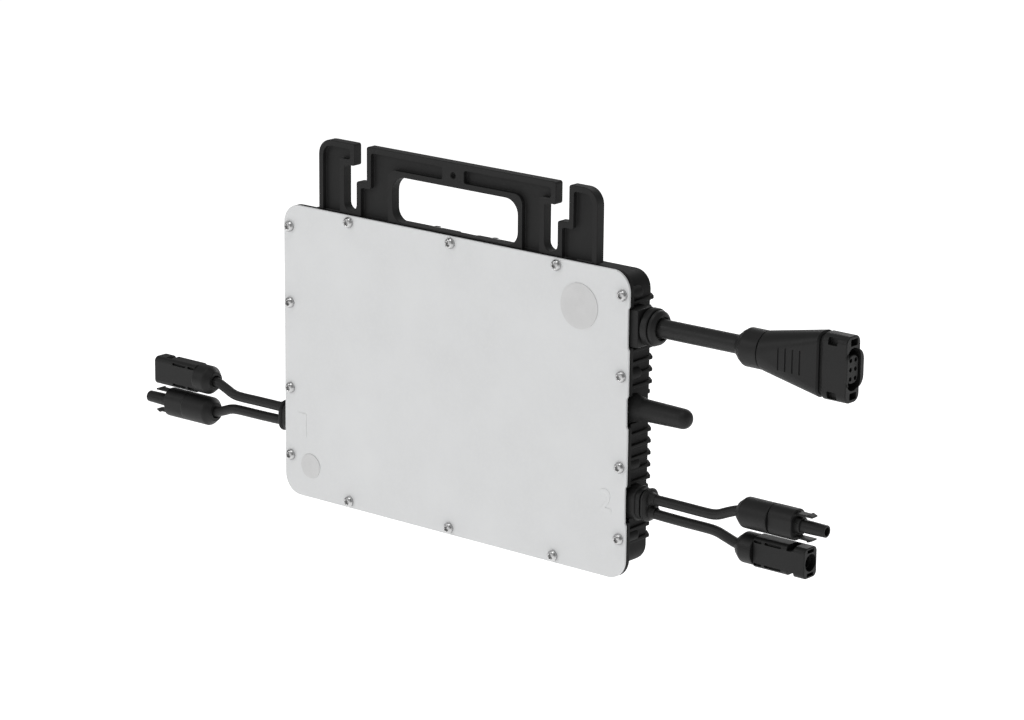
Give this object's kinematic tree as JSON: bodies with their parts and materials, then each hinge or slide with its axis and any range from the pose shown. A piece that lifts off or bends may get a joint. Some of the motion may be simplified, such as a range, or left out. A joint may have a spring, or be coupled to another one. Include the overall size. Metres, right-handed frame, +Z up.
{
  "type": "micro-inverter",
  "caption": "Flat finned solar micro-inverter with a slotted hanging bracket, stub antenna, grid cable plug and short PV leads with snap-lock connectors.",
  "frame": {"origin": "centre of the bracket's middle hole, on the bracket's rear face that bears on the mounting rail", "axes": "+Z up, +Y from the front cover back towards the rail and the cooling fins, +X along the cover towards the side with the grid cable and the antenna"},
  "size_m": [0.5302, 0.0352, 0.2228],
  "materials": {
    "cover_paint": "satin powder coat",
    "casting": "matte black coating over cast aluminium",
    "bracket_metal": "matte black coating",
    "screw_steel": "stainless",
    "gasket_rubber": "matte silicone",
    "seal_film": "printed film",
    "gland_plastic": "fine moulded grain",
    "connector_plastic": "satin moulded",
    "cable_jacket": "satin jacket",
    "antenna_rubber": "matte",
    "contact_metal": "tin plated",
    "copper_wire": "tinned copper",
    "board_laminate": "solder mask",
    "ferrite": "ferrite",
    "component_plastic": "moulded epoxy",
    "capacitor_can": "sleeved can",
    "resin": "cured resin",
    "heat_pad": "gap filler"
  },
  "bodies": {
    "inverter": {"front_cover": "cover_paint", "cover_gasket": "gasket_rubber", "cover_screws": "screw_steel", "fill_port_seal": "seal_film", "vent_port_seal": "seal_film", "housing": "casting", "mounting_bracket": "bracket_metal", "bracket_screws": "screw_steel", "ac_gland_body": "gland_plastic", "ac_gland_nut": "gland_plastic", "ac_gland_seal": "gasket_rubber", "left_dc_gland": "gland_plastic", "right_dc_gland": "gland_plastic", "dc_grommets": "gasket_rubber", "antenna_sheath": "antenna_rubber", "antenna_element": "copper_wire", "antenna_seal": "gasket_rubber", "ac_cable": "cable_jacket", "right_upper_lead": "cable_jacket", "right_lower_lead": "cable_jacket", "left_upper_lead": "cable_jacket", "left_lower_lead": "cable_jacket", "ac_plug_nut": "connector_plastic", "ac_plug_seal": "gasket_rubber", "ac_plug_body": "connector_plastic", "ac_plug_head": "connector_plastic", "ac_plug_insert": "component_plastic", "ac_plug_contacts": "contact_metal", "circuit_board": "board_laminate", "board_posts": "screw_steel", "board_screws": "screw_steel", "transformer_cores": "ferrite", "transformer_windings": "copper_wire", "input_capacitors": "capacitor_can", "film_capacitors": "component_plastic", "filter_chokes": "ferrite", "grid_relays": "component_plastic", "power_transistors": "component_plastic", "thermal_pads": "heat_pad", "radio_module": "capacitor_can", "dc_conductor_tails": "copper_wire", "ac_conductor_tails": "copper_wire", "potting_compound": "resin", "right_male_nut": "connector_plastic", "right_male_body": "connector_plastic", "right_male_pin": "contact_metal", "right_female_nut": "connector_plastic", "right_female_body": "connector_plastic", "right_female_contact": "contact_metal", "left_male_nut": "connector_plastic", "left_male_body": "connector_plastic", "left_male_pin": "contact_metal", "left_female_nut": "connector_plastic", "left_female_body": "connector_plastic", "left_female_contact": "contact_metal"},
    "right_upper_latch": {"right_upper_latch": "connector_plastic"},
    "right_lower_latch": {"right_lower_latch": "connector_plastic"},
    "left_upper_latch": {"left_upper_latch": "connector_plastic"},
    "left_lower_latch": {"left_lower_latch": "connector_plastic"}
  },
  "joints": [
    {"name": "right_upper_latch_flex", "type": "hinge", "parent": "inverter", "child": "right_upper_latch", "pos_m": [0.2415, 0.0026, -0.154], "axis": [0, 1, 0], "range_deg": [0, 8], "stiffness_Nm_per_rad": 0.5},
    {"name": "right_lower_latch_flex", "type": "hinge", "parent": "inverter", "child": "right_lower_latch", "pos_m": [0.2415, 0.0026, -0.1674], "axis": [0, -1, 0], "range_deg": [0, 8], "stiffness_Nm_per_rad": 0.5},
    {"name": "left_upper_latch_flex", "type": "hinge", "parent": "inverter", "child": "left_upper_latch", "pos_m": [-0.2381, 0.0026, -0.1744], "axis": [0, -1, 0], "range_deg": [0, 8], "stiffness_Nm_per_rad": 0.5},
    {"name": "left_lower_latch_flex", "type": "hinge", "parent": "inverter", "child": "left_lower_latch", "pos_m": [-0.2381, 0.0026, -0.1878], "axis": [0, 1, 0], "range_deg": [0, 8], "stiffness_Nm_per_rad": 0.5}
  ]
}
